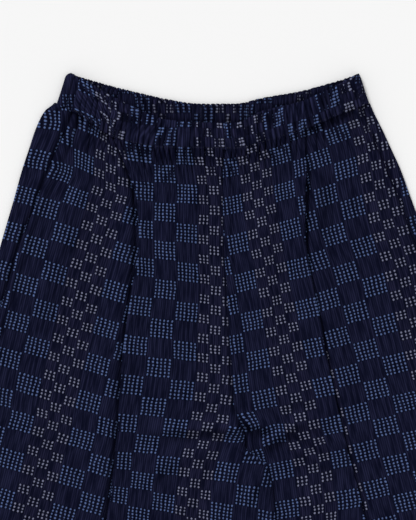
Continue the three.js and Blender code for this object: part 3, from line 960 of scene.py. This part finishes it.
@dataclass
class BackPanel(Panel):
    """A back of one leg: along the floor, round the side fold and up to the side seam."""

    lattice: Lattice
    wrap_shift: float
    floor_points: int = 64
    wrap_points: int = 26
    turn_steps: int = 8
    kind = "back"

    def strip(self, x: Values, depth: Values, z: Values, map_x: Values) -> Sheet:
        """A stretch of the back, with its pattern shifted against the front's own."""
        return Sheet(x, depth, z, *self.lattice.counts(map_x, depth - self.wrap_shift))

    def sheet(self) -> Sheet:
        """Section of the back on each row; its pattern is mirrored at the side fold."""
        sign = self.side.sign
        label = self.side.label
        level = levels(BACK_LEVELS)
        inner = knot(f"{label}_inner", level, Layer.BACK) + sign * CLOSED_GAP / 2
        seam = knot(f"{label}_seam", level)
        top = outer_height(level, np.zeros(1))
        radius = (top - FLOOR_LAYER) / 2
        bend = knot(f"{label}_side", level) - sign * (radius + CLOTH / 2)

        floor_x = lerp(inner, bend, spread(self.floor_points))
        floor_depth = row_depth(level, floor_x, Layer.BACK)
        floor_z = FLOOR_LAYER + overlap_lift(self.side, floor_x, floor_depth) + 0 * floor_x

        turned, bulge, rise = half_turn(self.turn_steps)
        turn_x = bend + sign * radius * bulge
        turn_depth = lerp(row_depth(level, turn_x, Layer.BACK), row_depth(level, turn_x), turned)
        turn_z = FLOOR_LAYER + radius * rise

        over = spread(self.wrap_points)
        over_x = lerp(bend, seam, over)
        over_depth = row_depth(level, over_x)
        swell = ROWS["waves"].at(level) * WAIST_SWELL / 2 * two_swells(over)
        groove = seam_line(np.abs(over_x - seam), SIDE_GROOVE)
        over_z = top + swell + groove * smooth(over * WRAP_START)

        return joined(
            self.strip(floor_x, floor_depth, floor_z, 2 * bend - floor_x),
            self.strip(turn_x, turn_depth, turn_z, turn_x),
            self.strip(over_x, over_depth, over_z, over_x),
        )


def casing_seam(side: Side, share: Values) -> Values:
    """x of a side seam across the casing, from its top edge (share 0) to its seam (share 1)."""
    track = EDGES[f"{side.label}_seam"]
    return lerp(track.at(np.zeros(1)), track.at(np.full(1, CASING_FOOT[side])), share)


def casing_depth(layer: Layer, x: Values, share: Values) -> Values:
    """Depth of a waist casing at x, between its top edge and its seam."""
    top = WAIST[f"{layer.value}_top"].at(x)
    return lerp(top, WAIST[f"{layer.value}_seam"].at(x), share)


def casing_top(share: Values) -> Values:
    """Height of the upper side of a waist casing, which bulges between its edges."""
    return CASING_TOP + CASING_BELLY * (1 - (2 * share - 1) ** 4)


def front_counts(x: Values, depth: Values) -> tuple[Values, Values]:
    """The pattern of the fronts at each place, by the region that holds it."""
    counts = RIGHT_OUTER.counts(x, depth)
    regions = (("right_pleat", RIGHT_INNER), ("left_inner", LEFT_INNER), ("left_pleat", LEFT_OUTER))
    for edge, lattice in regions:
        here = x < EDGES[edge].at(depth)
        counts = tuple(np.where(here, *pair) for pair in zip(lattice.counts(x, depth), counts))
    return counts


@dataclass
class Stitches:
    """A row of small stitches near the edge of a sheet that is sewn down."""

    name: str
    sheet: Sheet
    span: slice
    wall: float
    row: int = -2
    pitch: float = 3.1
    shown: float = 0.76
    dip: float = 0.7
    radius: float = 0.26

    def build(self) -> bpy.types.Object:
        """Model the thread as one bevelled curve that rises from the cloth for each stitch."""
        x = self.sheet.x[self.row, self.span]
        depth = self.sheet.depth[self.row, self.span]
        above = (x / self.pitch) % 1.0 < self.shown
        z = self.sheet.z[self.row, self.span] + self.wall / 2 - np.where(above, 0.0, self.dip)
        places = Sheet(x, depth, z, columns=x, rows=x).metres()
        deselect()
        bpy.ops.curve.primitive_bezier_curve_add()
        piece = bpy.context.active_object
        piece.name = self.name
        curve = piece.data
        curve.splines.clear()
        thread = curve.splines.new("POLY")
        thread.points.add(len(places) - 1)
        thread.points.foreach_set("co", np.hstack([places, np.ones((len(places), 1))]).ravel())
        curve.bevel_depth = self.radius * MM
        curve.bevel_resolution = 1
        curve.use_fill_caps = True
        bpy.ops.object.convert(target="MESH")
        piece.data.name = self.name
        bpy.ops.object.shade_smooth_by_angle(angle=math.radians(SMOOTH_ANGLE))
        return piece


@dataclass
class WaistCasing:
    """The waist casing: cloth folded over a band of elastic, in a front and a back piece."""

    points: int = 560
    wrap_points: int = 15
    turn_steps: int = 6
    front_flat: tuple[float, float] = (0.50, 0.045)
    back_flat: tuple[float, float] = (0.46, 0.04)

    def scalloped(self, layer: Layer, x: Values, share: Values, trough: Values) -> Values:
        """Depth at each place, with the top edge drawn down in the troughs."""
        return casing_depth(layer, x, share) + SCALLOP * trough * (1 - share) ** 3

    def front_sheet(self) -> Sheet:
        """The front casing, from the left side seam to the right."""
        share = spread(CASING_ROWS).T
        along = spread(self.points)
        left = casing_seam(Side.LEFT, share) + SEAM_GAP
        right = casing_seam(Side.RIGHT, share) - SEAM_GAP
        x = lerp(left, right, along)
        trough = WAIST_GATHERS.troughs(x[-1:], 0.0)
        depth = self.scalloped(Layer.FRONT, x, share, trough)
        fall = (2 * CASING_SWELL + CASING_PINCH * share) * trough
        z = casing_top(share) + (CASING_SWELL - fall) * between(along, CASING_ENDS)
        columns, rows = front_counts(x, depth)
        columns = columns + COLUMNS_TAKEN * WAIST_GATHERS.taken_up(x[-1:])
        return Sheet(x, depth, z, columns, rows)

    def strip_counts(self, x: Values, depth: Values) -> tuple[Values, Values]:
        """The pattern of the back casing on each side of the centre back seam."""
        left = (
            EDGE_COLUMN + (x - STRIP_LEFT_EDGE) / STRIP_COLUMN,
            EDGE_ROW + (depth - STRIP_LEFT_ROW) / STRIP_ROW,
        )
        right = (x - STRIP_RIGHT_BAND) / STRIP_COLUMN, 1.0 - (depth - STRIP_RIGHT_ROW) / STRIP_ROW
        here = x < CENTRE_BACK
        return np.where(here, left[0], right[0]), np.where(here, left[1], right[1])

    def wrap(self, side: Side, share: Values) -> tuple[Values, Values]:
        """A wrap of the back casing, from its inside round the corner to its side seam.

        Args:
            side: Side of the garment.
            share: Share of the way from the top edge to the seam, for each row.

        Returns:
            x where the wrap begins, and the x, depth and z of its points.
        """
        floor_layer = CASING / 2
        radius = (CASING_TOP - floor_layer) / 2
        rounding = CORNER_ROUND[side] * clamp(1 - share / CORNER_SHARE) ** 2
        corner = lerp(CORNER_TOP, CORNER_SEAM, share) - rounding
        bend = side.sign * (corner - radius - floor_layer)
        turned, bulge, rise = half_turn(self.turn_steps)
        turn_x = bend + side.sign * radius * bulge
        under = casing_depth(Layer.BACK, turn_x, share)
        turn_depth = lerp(under, casing_depth(Layer.FRONT, turn_x, share), turned)
        turn_z = floor_layer + radius * rise + 0 * share
        over = spread(self.wrap_points)
        over_x = lerp(bend, casing_seam(side, share), over)
        over_depth = casing_depth(Layer.FRONT, over_x, share)
        over_z = casing_top(share) + CASING_SWELL * two_swells(over)
        turn = np.stack([turn_x, turn_depth, turn_z])
        return bend, np.concatenate([turn, np.stack([over_x, over_depth, over_z])], axis=-1)

    def back_sheet(self) -> Sheet:
        """The back casing: round both corners, with its inside up behind the front edge."""
        share = spread(CASING_ROWS).T
        along = spread(self.points)
        left_bend, left = self.wrap(Side.LEFT, share)
        right_bend, right = self.wrap(Side.RIGHT, share)
        inside_x = lerp(left_bend, right_bend, along)
        trough = STRIP_GATHERS.troughs(inside_x[-1:], 0.0)
        inside_depth = self.scalloped(Layer.BACK, inside_x, share, trough)
        below = inside_depth - casing_depth(Layer.FRONT, inside_x, 0 * share)
        hidden = smooth((below + STRIP_SHADE) / STRIP_SHADE_WIDTH)
        swell = lerp(STRIP_SWELL, STRIP_SWELL * STRIP_HIDDEN, hidden)
        rise = (swell * (1 - trough) - STRIP_DIP * trough) * between(along, CASING_ENDS)
        inside = np.stack([inside_x, inside_depth, CASING / 2 + rise])
        x, depth, z = np.concatenate([left[..., ::-1], inside, right], axis=-1)
        columns, rows = self.strip_counts(x, depth)
        columns = columns + STRIP_COLUMNS_TAKEN * STRIP_GATHERS.taken_up(x[-1:])
        return Sheet(x, depth, z, columns, rows)

    def build(self) -> list[bpy.types.Object]:
        """Model both pieces, and the stitches along the lower edge of the front one."""
        front = self.front_sheet()
        return [
            lay_cloth("waist_casing_front", front, CASING_SHELL, even=False),
            lay_cloth("waist_casing_back", self.back_sheet(), CASING_SHELL, even=False),
            Stitches("waist_stitches", front, slice(4, -4), CASING_SHELL).build(),
        ]


@dataclass
class HemCasing:
    """The gathered casing at a hem, a flat ring closed at its inner fold."""

    side: Side
    flat: tuple[float, float]
    area: float
    lattice: Lattice
    points: int = 260
    floor_points: int = 40
    turn_steps: int = 6

    def sheet(self) -> Sheet:
        """The ring: along the floor, round the side fold, back over the top and round again."""
        sign = self.side.sign
        label = self.side.label
        share = spread(HEM_ROWS).T
        depth = lerp(HEM_SEAM, LENGTH, share)
        floor_layer = HEM_CASING / 2
        radius = (HEM_TOP - floor_layer) / 2
        outer_bend = EDGES[f"{label}_side"].at(depth) - sign * (radius + floor_layer)
        inner_bend = EDGES[f"{label}_inner"].at(depth) + sign * (radius + floor_layer)
        _, bulge, rise = half_turn(self.turn_steps)
        floor_x = lerp(inner_bend, outer_bend, spread(self.floor_points))
        floor_z = floor_layer + 0 * floor_x
        over = spread(self.points)
        over_x = lerp(outer_bend, inner_bend, over)
        crest = (1 - HEM_GATHERS.troughs(over_x[:1], 0.0)) * between(over, HEM_ENDS)
        over_z = HEM_TOP + HEM_SWELL * crest + 0 * share
        outer_x = outer_bend + sign * radius * bulge
        inner_x = inner_bend - sign * radius * bulge[::-1]
        turn_z = floor_layer + radius * rise + 0 * share
        x = np.hstack([floor_x, outer_x, over_x, inner_x, floor_x[:, :1]])
        z = np.hstack([floor_z, turn_z, over_z, turn_z[:, ::-1], floor_z[:, :1]])
        depth = depth + 0 * x
        return Sheet(x, depth, z, *self.lattice.counts(x, depth))

    def build(self) -> tuple[bpy.types.Object, bpy.types.Object]:
        """Model the ring, and the stitches along its seam on the upper side."""
        label = self.side.label
        sheet = self.sheet()
        first = self.floor_points + self.turn_steps
        span = slice(first, first + self.points)
        stitches = Stitches(f"hem_stitches_{label}", sheet, span, HEM_SHELL, row=1)
        return lay_cloth(f"hem_casing_{label}", sheet, HEM_SHELL), stitches.build()


class Bench:
    """A material's node tree, with short ways to add its nodes."""

    def __init__(self, name: str) -> None:
        """Start an empty material."""
        self.material = bpy.data.materials.new(name)
        self.material.use_nodes = True
        self.tree = self.material.node_tree
        self.tree.nodes.clear()

    def node(self, kind: str, **settings: object) -> bpy.types.Node:
        """Add a node and set its options."""
        added = self.tree.nodes.new(kind)
        for key, value in settings.items():
            setattr(added, key, value)
        return added

    def put(self, socket: Socket, value: Value) -> None:
        """Link a socket to another, or set its value."""
        if isinstance(value, bpy.types.NodeSocket):
            self.tree.links.new(value, socket)
        else:
            socket.default_value = value

    def feed(self, node: bpy.types.Node, *values: Value, **named: Value) -> bpy.types.Node:
        """Fill a node's first inputs in order, and others by name, with spaces as underscores."""
        for socket, value in zip(node.inputs, values):
            self.put(socket, value)
        for key, value in named.items():
            self.put(node.inputs[key.replace("_", " ")], value)
        return node

    def maths(self, operation: str, *values: Value) -> Socket:
        """Result of a Math node."""
        return self.feed(self.node("ShaderNodeMath", operation=operation), *values).outputs[0]

    def product(self, first: Value, second: Value) -> Socket:
        """Product of two values."""
        return self.maths("MULTIPLY", first, second)

    def scaled(self, value: Value, scale: Value, start: Value) -> Socket:
        """A value multiplied by a scale and added to a start."""
        return self.maths("MULTIPLY_ADD", value, scale, start)

    def mix(self, factor: Value, first: Value, second: Value) -> Socket:
        """Mix of two colours."""
        added = self.node("ShaderNodeMix", data_type="RGBA", clamp_factor=True)
        for place, value in ((0, factor), (6, first), (7, second)):
            self.put(added.inputs[place], value)
        return added.outputs[2]

    def ease(self, value: Socket, limits: tuple[float, float]) -> Socket:
        """Smooth step of a value from 0 at the first limit to 1 at the second."""
        added = self.node("ShaderNodeMapRange", interpolation_type="SMOOTHSTEP", clamp=True)
        return self.feed(added, value, *limits).outputs[0]

    def split(self, vector: Socket) -> tuple[Socket, Socket]:
        """First two parts of a vector."""
        parts = self.feed(self.node("ShaderNodeSeparateXYZ"), vector).outputs
        return parts[0], parts[1]

    def pair(self, first: Socket, second: Socket) -> Socket:
        """Vector of two values."""
        return self.feed(self.node("ShaderNodeCombineXYZ"), first, second).outputs[0]

    def noise(
        self, place: Socket, scale: float, detail: float, dimensions: str = "2D"
    ) -> bpy.types.Node:
        """Add a soft noise."""
        added = self.node("ShaderNodeTexNoise", noise_dimensions=dimensions)
        self.feed(added, Vector=place, Scale=scale, Detail=detail)
        return added

    def finish(self, **values: Value) -> bpy.types.Material:
        """Give the material its surface, with these inputs of the shader."""
        shader = self.node("ShaderNodeBsdfPrincipled")
        self.feed(shader, **values)
        self.feed(self.node("ShaderNodeOutputMaterial"), shader.outputs[0])
        return self.material


@dataclass(frozen=True)
class DobbyCloth:
    """Navy cotton with warp ribs, and floats that make small white and larger blue squares.

    Sizes are in counts of the floats, and each slope holds its scale and its start.
    """

    name: str
    ground: Colour = (0.0032, 0.0039, 0.0130, 1)
    rib: Colour = (0.0152, 0.0166, 0.0450, 1)
    pale_rib: Colour = (0.0175, 0.0176, 0.0455, 1)
    # Painted shade: the colour that the ground takes round the raised floats, standing in for the
    # shade in the hollows between them
    shade_round_floats: Colour = (0.0018, 0.0022, 0.0070, 1)
    blue: Colour = (0.081, 0.121, 0.266, 1)
    white: Colour = (0.168, 0.179, 0.272, 1)
    roughness: float = 0.95
    specular: float = 0.01
    repeat: float = 27.0
    white_half: float = 4.5
    middle_half: float = 1.5
    blue_block: float = 6.0
    white_block: float = 3.0
    float_width: float = 0.225
    float_length: float = 0.32
    float_edge: tuple[float, float] = (1.5, 0.35)
    float_tone: tuple[float, float] = (0.35, 0.78)
    shade_round_floats_share: float = 0.6
    # Share of that painted shade in the squares that hold floats
    drift: float = 0.5
    drift_scale: float = 0.45
    drift_detail: float = 2.0
    rib_tone: tuple[float, float] = (0.75, 0.2)
    rib_relief: float = 0.22
    slub: tuple[float, float] = (1.7, 0.13)
    slub_edge: tuple[float, float] = (0.3, 0.7)
    slub_detail: float = 3.0
    relief: float = 0.6
    relief_height: float = 0.0006

    def build(self) -> bpy.types.Material:
        """Make the material from the pattern's counts in the cloth's own map."""
        bench = Bench(self.name)
        place = bench.node("ShaderNodeUVMap", uv_map="cloth").outputs[0]
        even = bench.split(place)
        drift = bench.noise(place, self.drift_scale, self.drift_detail)
        shift = bench.split(drift.outputs["Color"])
        columns, rows = (
            bench.maths("SUBTRACT", bench.scaled(*pair), self.drift / 2)
            for pair in ((shift[0], self.drift, even[0]), (shift[1], self.drift, even[1]))
        )
        column, row = (bench.maths("FLOOR", bench.maths("ADD", n, 0.5)) for n in (columns, rows))
        half = self.repeat / 2
        off = bench.maths("ABSOLUTE", bench.maths("WRAP", column, half, -half))
        in_white = bench.maths("LESS_THAN", off, self.white_half)
        lit = self.lit_squares(bench, off, row, in_white)
        thread = bench.node("ShaderNodeTexWhiteNoise", noise_dimensions="2D")
        bench.feed(thread, Vector=bench.pair(column, row))
        dot = self.dot_shape(bench, columns, rows, column, row)
        uneven = bench.scaled(thread.outputs["Value"], *self.float_tone)
        floats = bench.product(bench.product(dot, lit), uneven)

        ribs, rib_share = self.ribs(bench, *even)
        base = bench.mix(rib_share, self.ground, bench.mix(in_white, self.rib, self.pale_rib))
        # Painted shade: in the squares that hold floats the ground is drawn darker, as the shade
        # round the raised floats
        base = bench.mix(bench.product(lit, self.shade_round_floats_share), base, self.shade_round_floats)
        colour = bench.mix(floats, base, bench.mix(in_white, self.blue, self.white))
        height = bench.scaled(floats, 1.0, bench.product(ribs, self.rib_relief))
        bump = bench.node("ShaderNodeBump")
        bench.feed(bump, Strength=self.relief, Distance=self.relief_height, Height=height)
        return bench.finish(
            Base_Color=colour, Normal=bump.outputs[0], Roughness=self.roughness,
            Specular_IOR_Level=self.specular,
        )

    def block(self, bench: Bench, off: Socket, row: Socket, first: float, size: float) -> Socket:
        """Mask of every other square of a size, a square askew beyond the first column."""
        beyond = bench.maths("GREATER_THAN", off, first)
        place = bench.maths("FLOORED_MODULO", bench.scaled(beyond, size, row), 2 * size)
        return bench.maths("LESS_THAN", place, size - 0.5)

    def lit_squares(self, bench: Bench, off: Socket, row: Socket, in_white: Socket) -> Socket:
        """Mask of the squares that hold floats."""
        white = self.block(bench, off, row, self.middle_half, self.white_block)
        blue = self.block(bench, off, row, self.white_half + self.blue_block, self.blue_block)
        in_blue = bench.maths("SUBTRACT", 1.0, in_white)
        return bench.maths("ADD", bench.product(in_white, white), bench.product(in_blue, blue))

    def dot_shape(
        self, bench: Bench, columns: Socket, rows: Socket, column: Socket, row: Socket
    ) -> Socket:
        """Mask of one rounded float in each cell."""
        across = bench.maths("DIVIDE", bench.maths("SUBTRACT", columns, column), self.float_width)
        along = bench.maths("DIVIDE", bench.maths("SUBTRACT", rows, row), self.float_length)
        return bench.ease(bench.scaled(along, along, bench.product(across, across)), self.float_edge)

    def ribs(self, bench: Bench, columns: Socket, rows: Socket) -> tuple[Socket, Socket]:
        """Height of the warp ribs, and the share of the paler threads in them."""
        wave = bench.scaled(bench.maths("SINE", bench.product(columns, 4 * math.pi)), 0.5, 0.5)
        along = (bench.product(place, scale) for place, scale in zip((columns, rows), self.slub))
        slub = bench.noise(bench.pair(*along), 1.0, self.slub_detail)
        uneven = bench.ease(slub.outputs[0], self.slub_edge)
        return wave, bench.product(bench.scaled(wave, *self.rib_tone), uneven)


@dataclass(frozen=True)
class SewingThread:
    """Dull navy sewing thread, a little uneven along its length."""

    name: str
    dark: Colour = (0.0040, 0.0050, 0.0140, 1)
    pale: Colour = (0.0100, 0.0115, 0.0310, 1)
    roughness: float = 0.7
    grain: float = 900.0
    grain_detail: float = 2.0
    grain_edge: tuple[float, float] = (0.35, 0.65)

    def build(self) -> bpy.types.Material:
        """Make the material from the piece's own coordinates."""
        bench = Bench(self.name)
        place = bench.node("ShaderNodeTexCoord").outputs["Object"]
        grain = bench.noise(place, self.grain, self.grain_detail, "3D")
        tone = bench.ease(grain.outputs[0], self.grain_edge)
        colour = bench.mix(tone, self.dark, self.pale)
        return bench.finish(Base_Color=colour, Roughness=self.roughness)


@dataclass(frozen=True)
class Studio:
    """The floor, the soft light and the camera straight above."""

    floor_size: float = 6.0
    floor_colour: Colour = (0.93, 0.93, 0.93, 1)
    floor_roughness: float = 0.9
    sky_strength: float = 0.58
    lamp_strength: float = 2.24
    lamp_lean: float = 54.0
    lamp_yaw: float = 32.0
    lamp_softness: float = 22.0
    lamp_place: tuple[float, float, float] = (-0.5, 2.0, 2.0)
    centre: tuple[float, float] = (-0.0185, 0.2456)
    view_height: float = 0.624
    distance: float = 4.0
    sensor: float = 24.0
    view_end: float = 20.0

    def build(self) -> None:
        """Set up the floor, the lights and the camera."""
        self.lay_floor()
        self.light()
        self.place_camera()

    def lay_floor(self) -> None:
        """Lay a plain pale floor."""
        deselect()
        bpy.ops.mesh.primitive_plane_add(size=self.floor_size)
        floor = bpy.context.active_object
        floor.name = "studio_floor"
        floor.data.materials.append(Bench("studio_paper").finish(
            Base_Color=self.floor_colour, Roughness=self.floor_roughness, Specular_IOR_Level=0.0,
        ))

    def light(self) -> None:
        """Light the room evenly, with one large soft lamp beyond the waist and to its left."""
        scene = bpy.context.scene
        world = bpy.data.worlds.new("studio_air")
        world.use_nodes = True
        sky = world.node_tree.nodes["Background"]
        sky.inputs[0].default_value = (1, 1, 1, 1)
        sky.inputs[1].default_value = self.sky_strength
        scene.world = world
        scene.view_settings.view_transform = "Standard"
        deselect()
        bpy.ops.object.light_add(type="SUN", location=self.lamp_place)
        lamp = bpy.context.active_object
        lamp.name = "studio_lamp"
        lamp.data.energy = self.lamp_strength
        lamp.data.angle = math.radians(self.lamp_softness)
        lamp.rotation_euler = (math.radians(-self.lamp_lean), 0.0, math.radians(self.lamp_yaw))

    def place_camera(self) -> None:
        """Set the camera straight above, with a long lens that takes in the photo's frame."""
        deselect()
        bpy.ops.object.camera_add(location=(*self.centre, self.distance), rotation=(0, 0, 0))
        camera = bpy.context.active_object
        camera.name = "camera_above"
        camera.data.sensor_fit = "VERTICAL"
        camera.data.sensor_height = self.sensor
        camera.data.lens = self.sensor * self.distance / self.view_height
        camera.data.clip_end = self.view_end
        bpy.context.scene.camera = camera


def finish_piece(
    piece: bpy.types.Object, material: bpy.types.Material, node: str = ""
) -> None:
    """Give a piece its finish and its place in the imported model.

    Args:
        piece: The piece.
        material: Its finish.
        node: Solid that it stands for; stitches stand for none.
    """
    piece.data.materials.clear()
    piece.data.materials.append(material)
    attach(piece, "root")
    if node:
        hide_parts(node)
    log.info("%s: %d faces, stands for %s", piece.name, len(piece.data.polygons), node or "none")


def main() -> None:
    """Build the trousers and the studio round them."""
    logging.basicConfig(level=logging.INFO, format="%(message)s")
    Studio().build()
    cloth = DobbyCloth("navy_dobby").build()
    casing_cloth = DobbyCloth(
        "navy_dobby_casing", rib=(0.0215, 0.0235, 0.0640, 1), pale_rib=(0.0235, 0.0240, 0.0630, 1),
        blue=(0.084, 0.125, 0.278, 1), white=(0.172, 0.184, 0.282, 1), float_width=0.19,
    ).build()
    # A copy of the cloth with dimmer floats for the inside of the back casing: painted shade, as
    # that strip lies low behind the front casing
    shaded_inside_cloth = DobbyCloth(
        "navy_dobby_inside_shaded", blue=(0.052, 0.076, 0.168, 1), white=(0.106, 0.112, 0.170, 1),
        float_width=0.2,
    ).build()
    hem_cloth = DobbyCloth("navy_dobby_hem").build()
    thread = SewingThread("navy_thread").build()

    panels = (
        FrontPanel(Side.LEFT, (0.52, 0.87), 0.34, 120, LEFT_OUTER, 206, LEFT_INNER),
        FrontPanel(Side.RIGHT, (0.50, 0.87), 0.31, 138, RIGHT_OUTER, 156, RIGHT_INNER),
        BackPanel(Side.LEFT, (0.46, 0.87), 0.30, LEFT_WRAP, 14.4),
        BackPanel(Side.RIGHT, (0.42, 0.87), 0.27, RIGHT_OUTER, -9.0),
    )
    for panel in panels:
        piece = panel.build()
        finish_piece(piece, cloth, panel.node)
    casing = WaistCasing()
    front_casing, back_casing, stitches = casing.build()
    finish_piece(stitches, thread)
    finish_piece(front_casing, casing_cloth, "waistband_front")
    # The back casing takes the copy with painted shade on its floats
    finish_piece(back_casing, shaded_inside_cloth, "waistband_back")
    hems = (
        HemCasing(Side.LEFT, (0.37, 0.025), 0.0092, LEFT_INNER),
        HemCasing(Side.RIGHT, (0.40, 0.025), 0.0099, RIGHT_OUTER),
    )
    for hem in hems:
        piece, stitches = hem.build()
        finish_piece(stitches, thread)
        finish_piece(piece, hem_cloth, f"hem_{hem.side.label}")


if __name__ == "__main__":
    main()
